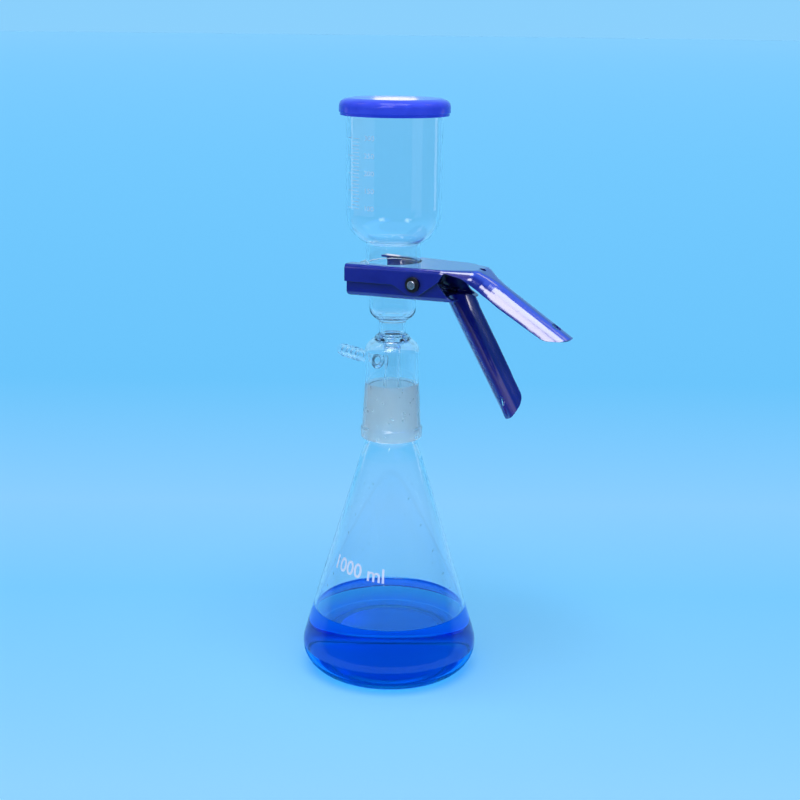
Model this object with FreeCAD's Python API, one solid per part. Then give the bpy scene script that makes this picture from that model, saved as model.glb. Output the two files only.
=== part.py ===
import FreeCAD, Part
import math
import os

# Glass vacuum filtration unit: conical flask, filter base with hose arm, graduated
# funnel cup with a lid, and a sprung hand clamp that holds the two glass flanges.
# Millimetres. Z is up, the foot of the flask stands on z = 0 around the Z axis,
# and the front of the unit faces -Y. The clamp has its own horizontal axes: ALONG
# runs from the fork to the handles and ACROSS is parallel to the hinge pin.

Vector = FreeCAD.Vector
UP = Vector(0, 0, 1)

# --- conical flask ---------------------------------------------------------------
flask_radius = 65.5
flask_corner = 20.6
cone_slope = 0.2998
flask_wall = 2.0
flask_floor = 3.0
foot_radius = 42.0
foot_dish = 1.5
shoulder_height = 168.0
waist_height = 181.0
waist_radius = 17.6
neck_bore = 15.6
neck_height = 220.0

# --- ground joint between flask and filter base (40/35) --------------------------
joint_large_radius = 20.0
joint_small_radius = 18.25
joint_length = 35.0
joint_gap = 0.05

# --- filtrate --------------------------------------------------------------------
filtrate_level = 47.8
meniscus_rise = 1.3
liquid_gap = 0.1

# --- filter base -----------------------------------------------------------------
bell_radius = 19.8
bell_wall = 1.8
bell_top = 254.6
bead_width = 2.8
bead_height = 9.0
sleeve_wall = 1.9
ring_seal_radius = 12.2
ring_seal_height = 5.0
stem_radius = 9.8
stem_bore = 7.6
drip_radius = 6.0
drip_bore = 4.4
drip_tip_height = 192.0
drip_tip_angle = 35.0
bowl_radius = 16.9
bowl_bottom = 269.0
base_wall = 2.0

# --- hose arm of the filter base -------------------------------------------------
arm_height = 235.0
arm_angle = 126.8
arm_reach = 65.5
arm_radius = 4.3
arm_bore = 2.9
arm_root_radius = 6.4
barb_radius = 5.1
barb_pitch = 6.0
barb_count = 4

# --- flanges, frit and membrane --------------------------------------------------
flange_radius = 24.5
flange_thickness = 9.75
flange_bottom = 290.55
flange_edge = 0.8
frit_radius = 17.5
frit_thickness = 3.9
frit_gap = 0.05
membrane_margin = 1.0
membrane_thickness = 0.15

# --- funnel cup ------------------------------------------------------------------
cup_radius = 34.3
cup_wall = 2.0
cup_height = 124.9
cup_neck_radius = 19.8
cup_neck_height = 24.4
cup_neck_fillet = 4.0
cup_floor_angle = 29.0
rim_radius = 37.2
rim_height = 3.2

# --- lid -------------------------------------------------------------------------
lid_wall = 1.9
lid_clearance = 0.4
lid_depth = 10.3
lid_dome = 0.8
lid_top_thickness = 1.3

# --- clamp: sheet, fork and sides ------------------------------------------------
clamp_yaw = -28.0
metal = 1.5
plate_gap = 0.1
fork_reach = 22.5
lower_fork_reach = 21.8
flange_side_gap = 0.5
side_taper = 0.1172
slot_clearance = 1.0
plate_corner = 3.0
seam_gap = 0.3
ear_gap = 0.6
pivot_along = 29.3
upper_ear_radius = 8.6
lower_ear_radius = 7.8
ear_start = 14.0
side_end = 46.6

# --- clamp: handles --------------------------------------------------------------
handle_half_width = 13.9
handle_flat = 0.5
handle_corner_angle = 76.5
handle_taper = 0.001
handle_lip = 0.5
handle_hole_radius = 3.6
hole_to_tip = 13.6
upper_bend = 71.4
upper_bend_angle = 31.9
upper_bend_radius = 8.0
upper_handle_length = 80.6
lower_bend = 45.4
lower_bend_angle = 59.5
lower_handle_length = 96.0
lower_tip_slant = 12.0
lower_lip_tilt = 9.0
lip_trim = 1.3
spoon_length = 13.0
spoon_radius = 14.0
spring_hole_radius = 2.4

# --- hinge pin, push-on washers and spring ---------------------------------------
pin_radius = 3.0
pin_gap = 0.05
pin_overhang = 1.6
washer_width = 2.25
washer_thickness = 0.9
washer_gap = 0.1
wire_radius = 0.8
coil_gap = 0.6
coil_start = 12.0
coil_turns = 3
coil_pitch = 1.75
upper_leg_end = 62.0
lower_leg_end = 42.0

# --- places that follow from the sizes above -------------------------------------
flange_seat = flange_bottom + flange_thickness
funnel_bottom = flange_seat + membrane_thickness
funnel_flange_top = funnel_bottom + flange_thickness
cup_top = funnel_bottom + cup_height
upper_inside = funnel_flange_top + plate_gap
upper_top = upper_inside + metal
lower_inside = flange_bottom - plate_gap
lower_bottom = lower_inside - metal
pivot_height = (upper_inside + lower_inside) / 2
slot_radius = max(cup_neck_radius, bowl_radius) + slot_clearance
lower_inset = metal + ear_gap
membrane_radius = flange_radius - membrane_margin
fork_half_width = (flange_radius + flange_side_gap) * math.hypot(1, side_taper)
fork_half_width += lower_inset + metal + side_taper * fork_reach
bead_radius = joint_large_radius + bead_width
handle_corner = handle_half_width - handle_flat
handle_depth = handle_corner * (1 - math.cos(math.radians(handle_corner_angle))) + handle_lip
washer_radius = pin_radius + washer_width
coil_radius = pin_radius + coil_gap + wire_radius
ALONG = Vector(math.cos(math.radians(clamp_yaw)), math.sin(math.radians(clamp_yaw)), 0)
ACROSS = UP.cross(ALONG)
PIVOT = ALONG * pivot_along + UP * pivot_height


def save(name, shape):
    """Writes one named sub-part as a STEP file."""
    shape.exportStep("parts/" + name + ".step")


# === outlines ====================================================================
def rounded_outline(corners, place):
    """Closed wire through corners (a, b) or (a, b, fillet radius), put in space by place(a, b)."""
    spots = [(Vector(c[0], c[1], 0), c[2] if len(c) > 2 else 0.0) for c in corners]
    arcs = []
    for i, (corner, radius) in enumerate(spots):
        back = (spots[i - 1][0] - corner).normalize()
        ahead = (spots[(i + 1) % len(spots)][0] - corner).normalize()
        half = back.getAngle(ahead) / 2
        if radius <= 0 or half > math.pi / 2 - 1e-4:
            arcs.append((corner, None, corner))
            continue
        reach = radius / math.tan(half)
        inwards = (back + ahead).normalize()
        middle = corner + inwards * (radius / math.sin(half) - radius)
        arcs.append((corner + back * reach, middle, corner + ahead * reach))
    edges = []
    for i, (start, middle, end) in enumerate(arcs):
        if middle is not None:
            points = [place(p.x, p.y) for p in (start, middle, end)]
            edges.append(Part.Arc(*points).toShape())
        following = arcs[(i + 1) % len(arcs)][0]
        if (following - end).Length > 1e-6:
            edges.append(Part.makeLine(place(end.x, end.y), place(following.x, following.y)))
    return Part.Wire(edges)


def turned(corners):
    """Solid of revolution about Z of an outline of (radius, height, fillet) corners."""
    wire = rounded_outline(corners, lambda r, z: Vector(r, 0, z))
    return Part.Face(wire).revolve(Vector(), UP, 360)


def rod(start, end, radius):
    """Round rod between two points."""
    return Part.makeCylinder(radius, (end - start).Length, start, end - start)


# === flask and filtrate ==========================================================
def cone_radius(z, offset=0.0):
    """Radius of the flask's conical side at height z, moved inwards by offset."""
    lean = math.hypot(1, cone_slope)
    base = flask_radius + flask_corner * (lean + cone_slope - 1)
    return base - cone_slope * z - offset * lean


def flask_floor_outline(offset):
    """Corners of the flask's inside from the side's foot to the middle, moved inwards by offset."""
    floor = flask_floor + offset
    wall = flask_wall + offset
    return [
        (cone_radius(floor, wall), floor, flask_corner - wall),
        (foot_radius, floor, 10),
        (foot_radius - 8, floor + foot_dish, 10),
        (0, floor + foot_dish),
    ]


def make_flask():
    outside = [
        (0, foot_dish),
        (foot_radius - 4, foot_dish, 8),
        (foot_radius + 1, 0, 4),
        (cone_radius(0), 0, flask_corner),
        (cone_radius(shoulder_height), shoulder_height, 25),
        (waist_radius, waist_height, 2),
        (joint_large_radius, neck_height - joint_length, 0.6),
        (joint_small_radius, neck_height, 0.8),
    ]
    neck_inside = [
        (neck_bore + 0.6, neck_height, 0.8),
        (neck_bore, waist_height - 4, 12),
        (cone_radius(shoulder_height - 2, flask_wall), shoulder_height - 2, 22),
    ]
    return turned(outside + neck_inside + flask_floor_outline(0))


def make_filtrate():
    wall = flask_wall + liquid_gap
    contact = filtrate_level + meniscus_rise
    surface = [
        (0, filtrate_level),
        (cone_radius(filtrate_level, wall) - 1.6, filtrate_level, 2.5),
        (cone_radius(contact, wall) - 0.15, contact),
        (cone_radius(contact, wall), contact),
    ]
    return turned(surface + flask_floor_outline(liquid_gap))


# === filter base =================================================================
def make_bowl_and_stem():
    seal_bottom = bell_top - ring_seal_height / 2
    seal_top = bell_top + ring_seal_height / 2
    ledge = flange_seat - frit_thickness - frit_gap
    outline = [
        (frit_radius + frit_gap, flange_seat),
        (frit_radius + frit_gap, ledge),
        (bowl_radius - base_wall, ledge, 0.5),
        (bowl_radius - base_wall, bowl_bottom + 4, 6),
        (stem_bore, bowl_bottom + base_wall, 3),
        (stem_bore, seal_top + 1, 5),
        (drip_bore, seal_bottom, 5),
        (drip_bore, drip_tip_height),
        (drip_radius, drip_tip_height),
        (drip_radius, seal_bottom - 1, 3),
        (ring_seal_radius, seal_bottom, 1.5),
        (ring_seal_radius, seal_top, 1.2),
        (stem_radius, seal_top + 1.4, 1.0),
        (stem_radius, bowl_bottom - 1, 2.5),
        (bowl_radius, bowl_bottom + 3.6, 8),
        (bowl_radius, flange_bottom, 1.5),
        (flange_radius, flange_bottom, flange_edge),
        (flange_radius, flange_seat, flange_edge),
    ]
    slope = math.tan(math.radians(drip_tip_angle))
    below = Part.makeBox(40, 40, 40, Vector(-20, -20, -40))
    below.rotate(Vector(), Vector(0, 1, 0), drip_tip_angle)
    below.translate(UP * (drip_tip_height + drip_radius * slope))
    return turned(outline).cut(below)


def joint_radius(z):
    """Radius of the ground cone at height z."""
    slope = (joint_large_radius - joint_small_radius) / joint_length
    return joint_small_radius + slope * (neck_height - z)


def make_bell():
    bead_top = neck_height - joint_length + bead_height / 2
    bead_bottom = bead_top - bead_height
    bore_top = neck_height + 2
    outline = [
        (ring_seal_radius - 2, bell_top + 1.6),
        (ring_seal_radius, bell_top + 1.6, 1),
        (bell_radius, bell_top - 5.0, 8),
        (bell_radius, bore_top + 2, 20),
        (joint_radius(bead_top) + sleeve_wall, bead_top + 0.5, 3),
        (bead_radius, bead_top - 1, 2),
        (bead_radius, bead_bottom, 2.2),
        (joint_radius(bead_bottom) + joint_gap, bead_bottom, 0.8),
        (joint_radius(bore_top) + joint_gap, bore_top, 4),
        (bell_radius - bell_wall, bell_top - 6.2, 6.5),
        (ring_seal_radius - 2, bell_top - 1.2),
    ]
    return turned(outline)


def make_hose_arm():
    """Ridged hose arm, turned along Z and laid out level from the side of the bell."""
    root = bell_radius - bell_wall
    corners = [
        (0, root),
        (arm_root_radius, root),
        (arm_root_radius, bell_radius + 0.6, 1),
        (arm_radius, bell_radius + 4.5, 4),
    ]
    for n in range(barb_count):
        back = arm_reach - 2.0 - barb_pitch * (barb_count - n)
        corners.append((arm_radius, back, 0.5))
        corners.append((barb_radius, back + 1.7, 0.8))
        corners.append((arm_radius, back + barb_pitch - 0.5, 0.5))
    corners.append((arm_radius, arm_reach, 0.8))
    corners.append((0, arm_reach))
    arm = turned(corners)
    arm.rotate(Vector(), Vector(0, 1, 0), 90)
    arm.rotate(Vector(), UP, arm_angle)
    arm.translate(UP * arm_height)
    return arm


def make_filter_base():
    angle = math.radians(arm_angle)
    outwards = Vector(math.cos(angle), math.sin(angle), 0)
    bore_start = outwards * (drip_radius + 2) + UP * arm_height
    bore_end = outwards * (arm_reach + 1) + UP * arm_height
    bell = make_bell().fuse(make_hose_arm())
    bell = bell.cut(rod(bore_start, bore_end, arm_bore))
    return bell.fuse(make_bowl_and_stem()).removeSplitter()


def make_fritted_disc():
    return Part.makeCylinder(frit_radius, frit_thickness, UP * (flange_seat - frit_thickness))


def make_membrane_filter():
    return Part.makeCylinder(membrane_radius, membrane_thickness, UP * flange_seat)


# === funnel cup and lid ==========================================================
def make_funnel_cup():
    slope = math.tan(math.radians(cup_floor_angle))
    rise = cup_wall * math.hypot(1, slope) - slope * cup_wall
    floor_length = (cup_radius - cup_neck_radius) * math.hypot(1, slope)
    reach_share = math.tan(math.radians(90 - cup_floor_angle) / 2)
    shoulder = 0.995 * floor_length / reach_share - cup_neck_fillet
    neck_top = funnel_bottom + cup_neck_height
    side_low = neck_top + slope * (cup_radius - cup_neck_radius)
    rim_low = cup_top - rim_height
    inside = cup_radius - cup_wall
    outline = [
        (cup_neck_radius - cup_wall, funnel_bottom),
        (flange_radius, funnel_bottom, flange_edge),
        (flange_radius, funnel_flange_top, flange_edge),
        (cup_neck_radius, funnel_flange_top, 0.8),
        (cup_neck_radius, neck_top, cup_neck_fillet),
        (cup_radius, side_low, shoulder),
        (cup_radius, rim_low - 1.6, 3),
        (rim_radius, rim_low, 1.2),
        (rim_radius, cup_top, 1.3),
        (inside + 1.4, cup_top, 1.3),
        (inside, rim_low - 1, 4),
        (inside, side_low + rise, shoulder - cup_wall),
        (cup_neck_radius - cup_wall, neck_top + rise, cup_neck_fillet + cup_wall),
    ]
    return turned(outline)


def make_lid():
    inside = rim_radius + lid_clearance
    outside = inside + lid_wall
    bottom = cup_top - lid_depth
    top = cup_top + lid_top_thickness
    outline = [
        (0, top + lid_dome),
        (outside - 5.5, top + lid_dome * 0.3, 12),
        (outside, top - 2.2, 5),
        (outside, bottom + 2.3, 0.3),
        (outside - 0.7, bottom + 1.8, 0.2),
        (outside - 0.7, bottom, 0.5),
        (inside - 0.1, bottom, 0.3),
        (inside, bottom + 1.8, 0.5),
        (inside, cup_top, 0.8),
        (0, cup_top),
    ]
    return turned(outline)


# === clamp levers ================================================================
def clamp_side(u, z):
    """Point in the clamp's vertical middle plane, u along it from the glass axis."""
    return ALONG * u + UP * z


def clamp_prism(corners, front_only=False):
    """Prism of a side-view outline of (u, z, fillet) corners, across the clamp or its front half."""
    reach = 2 * fork_half_width
    wire = rounded_outline(corners, lambda u, z: clamp_side(u, z) - ACROSS * reach)
    return Part.Face(wire).extrude(ACROSS * (reach if front_only else 2 * reach))


def side_half_width(u):
    """Half width of the upper lever between its straight, tapering sides."""
    return fork_half_width - side_taper * (u + fork_reach)


def smooth(share):
    """Eases from 0 to 1 as share goes from 0 to 1."""
    share = min(max(share, 0.0), 1.0)
    return share * share * (3 - 2 * share)


def channel_wire(station, skin):
    """Closed cross-section of a sheet channel at one station along a lever.

    A station is (spot on the crown, outward direction, half width, corner radius,
    corner angle, depth). The crown is flat, turns through the corner angle at each
    side and ends in straight lips at the given depth. `skin` moves it all inwards.
    """
    spot, outward, half_width, corner, angle, depth = station
    turn = math.radians(angle)
    radius = corner - skin
    half = []
    for part in (0.0, 0.5, 1.0):
        across = half_width - corner + radius * math.sin(turn * part)
        half.append((across, skin + radius * (1 - math.cos(turn * part))))
    deep = depth + skin
    half.append((half[2][0] + (deep - half[2][1]) / math.tan(turn), deep))
    right = [spot + ACROSS * a - outward * d for a, d in half]
    left = [spot - ACROSS * a - outward * d for a, d in half]
    edges = [
        Part.makeLine(left[3], left[2]),
        Part.Arc(left[2], left[1], left[0]).toShape(),
        Part.makeLine(left[0], right[0]),
        Part.Arc(right[0], right[1], right[2]).toShape(),
        Part.makeLine(right[2], right[3]),
        Part.makeLine(right[3], left[3]),
    ]
    return Part.Wire(edges)


def channel(stations, skin):
    """Solid that fills the channel from its crown to its open side, through all stations."""
    return Part.makeLoft([channel_wire(s, skin) for s in stations], True, True)


def handle_station(spot, outward, along):
    """Station of a handle at a distance along it from the bend."""
    size = 1 - handle_taper * (along - 16)
    width = handle_half_width * size
    corner = handle_corner * size
    return (spot, outward, width, corner, handle_corner_angle, handle_depth * size + 1.5)


def plate_station(u, height, outward, inset):
    """Station of a flat plate with square sides at u along the clamp."""
    depth = upper_ear_radius + (upper_top - pivot_height) + 2
    width = side_half_width(u) - inset
    return (clamp_side(u, height), outward, width, plate_corner, 90.0, depth)


def tip_prism(corner, down, outward, length, slant):
    """Prism along `outward` of a handle's plan, from well before the bend to its round tip."""
    width = handle_half_width * (1 - handle_taper * (length - 16))
    aslant = width * math.tan(math.radians(slant))
    origin = corner - outward * 60
    outline = [
        (-140, -60),
        (length - 2.2 * width, -60),
        (length - 2.2 * width, -width - 0.01),
        (length - aslant, -width - 0.01, width * 0.95),
        (length + aslant, width + 0.01, width * 0.95),
        (length - 2.2 * width, width + 0.01),
        (length - 2.2 * width, 60),
        (-140, 60),
    ]
    wire = rounded_outline(outline, lambda a, b: origin + down * a + ACROSS * b)
    return Part.Face(wire).extrude(outward * 180)


def lip_cutter(corner, down, outward, begin, length, slant, tilt):
    """Cutter over the lips of a handle, which brings them down to the crown at the round tip.

    It starts `begin` from the bend. `slant` turns its edge in the handle's plan and `tilt`
    leaves the lip on the ACROSS side deeper than the other one.
    """
    across = ACROSS + down * math.tan(math.radians(slant)) - outward * math.tan(math.radians(tilt))
    depth = handle_depth - lip_trim
    start = length - spoon_length
    slope = (depth - metal - 0.1) / spoon_length
    outline = [
        (begin - 2, depth + 25),
        (begin, depth + 0.9),
        (start, depth, spoon_radius),
        (length + 9, depth - slope * (spoon_length + 9)),
        (length + 9, depth + 25),
    ]
    wire = rounded_outline(outline, lambda a, d: corner + down * a - outward * d - across * 30)
    return Part.Face(wire).extrude(across * 60)


def ear_corner(start, end, radius, above):
    """Corner whose fillet of this radius is centred on the pivot, between two side-view points."""
    slopes = []
    for (u, z), side in ((start, 1), (end, -1)):
        du, dz = pivot_along - u, pivot_height - z
        swing = math.asin(radius / math.hypot(du, dz)) * side * (1 if above else -1)
        slopes.append(math.tan(math.atan(dz / du) + swing))
    u = (end[1] - start[1] + slopes[0] * start[0] - slopes[1] * end[0]) / (slopes[0] - slopes[1])
    return (u, start[1] + slopes[0] * (u - start[0]), radius)


def fork_slot(height):
    """Slot of the fork through one plate, round at the glass axis and open at the fork's end."""
    low = UP * (height - metal)
    slot = Part.makeCylinder(slot_radius, 2 * metal, low)
    corner = low - ALONG * (2 * fork_reach) - ACROSS * slot_radius
    mouth = Part.makeBox(2 * fork_reach, 2 * slot_radius, 2 * metal)
    mouth.rotate(Vector(), UP, clamp_yaw)
    mouth.translate(corner)
    return slot.fuse(mouth)


def pin_hole():
    half = ACROSS * (2 * fork_half_width)
    return rod(PIVOT - half, PIVOT + half, pin_radius + pin_gap)


def make_upper_lever():
    tilt = math.radians(upper_bend_angle)
    down = ALONG * math.cos(tilt) - UP * math.sin(tilt)
    corner = clamp_side(upper_bend, upper_top)
    reach = upper_bend_radius * math.tan(tilt / 2)
    centre = clamp_side(upper_bend - reach, upper_top - upper_bend_radius)
    outward = UP * math.cos(tilt) + ALONG * math.sin(tilt)
    blend_from = side_end - 2.6
    blend_length = upper_bend - blend_from + 20

    def blended(spot, facing, travelled):
        flat = plate_station(blend_from, upper_top, UP, 0)
        handle = handle_station(spot, facing, 20)
        share = smooth(travelled / blend_length)
        sizes = [a + (b - a) * share for a, b in zip(flat[2:], handle[2:])]
        return (spot, facing, *sizes)

    stations = [plate_station(-fork_reach - 2, upper_top, UP, 0)]
    for travelled in (0.0, 5.0, 9.5, 14.0, 18.5):
        stations.append(blended(clamp_side(blend_from + travelled, upper_top), UP, travelled))
    for share in (0.0, 0.25, 0.5, 0.75, 1.0):
        turned_by = tilt * share
        spot = centre + (UP * math.cos(turned_by) + ALONG * math.sin(turned_by)) * upper_bend_radius
        fanned = tilt * (0.5 + (share - 0.5) * 0.3)
        facing = UP * math.cos(fanned) + ALONG * math.sin(fanned)
        travelled = upper_bend - blend_from + reach * (2 * share - 1)
        stations.append(blended(spot, facing, travelled))
    for past in (9.0, 13.0, 17.0, 20.0):
        stations.append(blended(corner + down * past, outward, upper_bend - blend_from + past))
    end = upper_handle_length + 2
    stations.append(handle_station(corner + down * end, outward, end))
    sheet = channel(stations, 0).cut(channel(stations, metal))

    seam = pivot_height - 1.0
    side_corner = (side_end, pivot_height + 1.8)
    edge = handle_depth - 0.3
    inwards = ALONG * -math.sin(tilt) - UP * math.cos(tilt)

    def edge_point(along, depth):
        point = corner + down * along + inwards * depth
        return (point.dot(ALONG), point.z)

    outline = [
        (-fork_reach, upper_top + 20),
        (-fork_reach, seam),
        (ear_start, seam, 4),
        ear_corner((ear_start, seam), side_corner, upper_ear_radius, False),
        (side_corner[0], side_corner[1], 1.5),
        (side_end + 5.6, upper_inside - 0.3, 0.8),
        (side_end + 9.8, upper_inside - 4.4, 6),
        edge_point(11, edge + 0.9) + (30,),
        edge_point(upper_handle_length + 10, edge - 1.6),
        edge_point(upper_handle_length + 10, -20),
        (upper_bend + 15, upper_top + 20),
    ]
    sheet = sheet.common(clamp_prism(outline))
    front_notch = [
        (side_end + 6.1, upper_inside - 0.6),
        (side_end + 17.5, upper_inside - 3.6, 12),
        edge_point(14, edge - 0.1) + (18,),
        edge_point(30, edge + 0.4),
        edge_point(30, edge + 12),
        (side_end + 7, upper_inside - 8),
    ]
    sheet = sheet.cut(clamp_prism(front_notch, True))
    sheet = sheet.common(tip_prism(corner, down, outward, upper_handle_length, 0))
    sheet = sheet.cut(lip_cutter(corner, down, outward, 46, upper_handle_length, 0, 0))
    sheet = sheet.cut(fork_slot(upper_inside + metal / 2)).cut(pin_hole())
    hole = corner + down * (upper_handle_length - hole_to_tip)
    sheet = sheet.cut(rod(hole - outward * 5, hole + outward * 5, handle_hole_radius))
    ridge = (UP + outward).normalize()
    return sheet.cut(rod(corner - ridge * 5, corner + ridge * 5, spring_hole_radius))


def make_lower_lever():
    tilt = math.radians(lower_bend_angle)
    down = ALONG * math.cos(tilt) - UP * math.sin(tilt)
    corner = clamp_side(lower_bend, lower_bottom)
    outward = UP * -math.cos(tilt) - ALONG * math.sin(tilt)
    inwards = outward * -1
    plate = [plate_station(u, lower_bottom, UP * -1, lower_inset) for u in (-fork_reach - 2, 75)]
    ends = (-26, lower_handle_length + 2)
    handle = [handle_station(corner + down * along, outward, along) for along in ends]
    filled = channel(plate, 0).fuse(channel(handle, 0))
    sheet = filled.cut(channel(plate, metal)).cut(channel(handle, metal))

    seam = pivot_height - 1.0 - seam_gap
    side_corner = (side_end - 0.8, pivot_height + 1.8)
    edge = handle_depth + 1.2

    def edge_point(along, depth):
        point = corner + down * along + inwards * depth
        return (point.dot(ALONG), point.z)

    outline = [
        (-lower_fork_reach, lower_bottom, 3),
        (-lower_fork_reach, seam),
        (ear_start, seam, 4),
        ear_corner((ear_start, seam), side_corner, lower_ear_radius, True),
        (side_corner[0], side_corner[1], 2),
        (52.8, lower_inside + 2.4, 8),
        (60.0, lower_inside - 0.9, 4),
        edge_point(15, edge) + (10,),
        edge_point(lower_handle_length + 10, edge),
        edge_point(lower_handle_length + 10, -20),
        edge_point(15, -20),
        (30, lower_bottom - 15),
        (30, lower_bottom),
    ]
    sheet = sheet.common(clamp_prism(outline))
    length, slant = lower_handle_length, lower_tip_slant
    sheet = sheet.common(tip_prism(corner, down, outward, length, slant))
    sheet = sheet.cut(lip_cutter(corner, down, outward, 8.5, length, slant, lower_lip_tilt))
    sheet = sheet.cut(fork_slot(lower_inside - metal / 2)).cut(pin_hole())
    hole = corner + down * (lower_handle_length - hole_to_tip)
    return sheet.cut(rod(hole - outward * 5, hole + outward * 5, handle_hole_radius))


# === hinge pin, washers and spring ===============================================
def washer_place():
    """Distance from the middle of the clamp to a washer's inner face."""
    ear = side_half_width(pivot_along)
    return ear + side_taper * washer_radius + washer_gap


def make_pivot_pin():
    half = washer_place() + washer_thickness + pin_overhang
    pin = rod(PIVOT - ACROSS * half, PIVOT + ACROSS * half, pin_radius)
    ends = [e for e in pin.Edges if e.Curve.TypeId == "Part::GeomCircle"]
    return pin.makeFillet(0.4, ends)


def make_retaining_washers():
    washers = []
    for side in (-1, 1):
        outwards = ACROSS * side
        start = PIVOT + outwards * washer_place()
        end = start + outwards * washer_thickness
        disc = rod(start, end, washer_radius)
        washers.append(disc.cut(rod(start - outwards, end + outwards, pin_radius + pin_gap)))
    return Part.makeCompound(washers)


def make_torsion_spring():
    """Double torsion spring of one wire: free leg, coil, bridge under the plate, coil, free leg."""
    bar_height = upper_inside - wire_radius - 0.05
    leg_height = lower_inside + wire_radius + 0.05

    def leg(u, z, side):
        """Coil angle where a straight leg from (u, z) meets the coil, and the leg's length."""
        run, rise = u - pivot_along, z - pivot_height
        straight = math.sqrt(run * run + rise * rise - coil_radius * coil_radius)
        turn = math.atan2(straight, coil_radius)
        return math.degrees(math.atan2(rise, run) + side * turn), straight

    first, bridge_leg = leg(upper_leg_end, bar_height, 1)
    last, free_leg = leg(lower_leg_end, leg_height, -1)
    turns = coil_turns + (last - first) / 360
    coil = Part.makeHelix(coil_pitch, coil_pitch * turns, coil_radius)
    coil.rotate(Vector(), UP, first)
    edge = coil.Edges[0]
    start, end = edge.valueAt(edge.FirstParameter), edge.valueAt(edge.LastParameter)
    start_way, end_way = edge.tangentAt(edge.FirstParameter), edge.tangentAt(edge.LastParameter)
    section = Part.Wire(Part.Circle(start, start_way, wire_radius).toShape())
    half = Part.Wire(coil.Edges).makePipeShell([section], True, True)
    corner = start - start_way * bridge_leg
    half = half.fuse([rod(start, corner, wire_radius), rod(end, end + end_way * free_leg, wire_radius)])
    turned_over = FreeCAD.Rotation(ALONG, UP, ACROSS * -1, "XYZ")
    place = FreeCAD.Placement(PIVOT - ACROSS * coil_start, turned_over)
    half.Placement = place
    bend = place.multVec(corner)
    far_bend = bend - ACROSS * (2 * bend.dot(ACROSS))
    bridge = rod(bend, far_bend, wire_radius)
    balls = [Part.makeSphere(wire_radius, spot) for spot in (bend, far_bend)]
    return bridge.fuse(balls + [half, half.mirror(Vector(), ACROSS)])


# === build =======================================================================
os.makedirs("parts", exist_ok=True)
save("flask", make_flask())
save("filtrate", make_filtrate())
save("filter_base", make_filter_base())
save("fritted_disc", make_fritted_disc())
save("membrane_filter", make_membrane_filter())
save("funnel_cup", make_funnel_cup())
save("lid", make_lid())
save("upper_lever", make_upper_lever())
save("lower_lever", make_lower_lever())
save("pivot_pin", make_pivot_pin())
save("retaining_washers", make_retaining_washers())
save("torsion_spring", make_torsion_spring())
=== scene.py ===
import math
import random

import bmesh
import bpy
from mathutils import Matrix, Vector


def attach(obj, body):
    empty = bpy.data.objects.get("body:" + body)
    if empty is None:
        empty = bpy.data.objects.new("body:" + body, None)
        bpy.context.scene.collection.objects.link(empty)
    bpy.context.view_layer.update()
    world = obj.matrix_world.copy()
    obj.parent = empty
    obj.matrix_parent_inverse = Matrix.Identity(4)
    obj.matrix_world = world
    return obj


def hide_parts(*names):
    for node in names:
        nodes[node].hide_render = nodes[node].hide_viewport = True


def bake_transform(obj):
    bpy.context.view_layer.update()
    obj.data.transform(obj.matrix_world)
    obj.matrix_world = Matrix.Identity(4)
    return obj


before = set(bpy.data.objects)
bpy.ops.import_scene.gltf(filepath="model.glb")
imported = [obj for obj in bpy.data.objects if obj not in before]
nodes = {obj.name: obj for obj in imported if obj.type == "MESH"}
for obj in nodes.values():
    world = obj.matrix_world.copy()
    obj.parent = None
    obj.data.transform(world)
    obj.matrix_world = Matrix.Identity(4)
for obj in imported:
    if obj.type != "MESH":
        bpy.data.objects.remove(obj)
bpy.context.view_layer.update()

MM = 0.001

# === light =======================================================================
FILL = 0.35  # strength of the world for matte surfaces
GLOW = 0.05  # share of the floor's tone that is there without any light
SUN = 2.8  # strength of the sun lamp
SUN_PLACE = (0.0, -0.80, 3.0)  # metres; it shines at the origin
SUN_SPREAD = 42.0  # degrees


# === colours and node helpers ====================================================
def rgb(r, g, b, a=1.0):
    """Linear colour from 0-255 sRGB values."""

    def lin(c):
        c /= 255.0
        return c / 12.92 if c <= 0.04045 else ((c + 0.055) / 1.055) ** 2.4

    return (lin(r), lin(g), lin(b), a)


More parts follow.
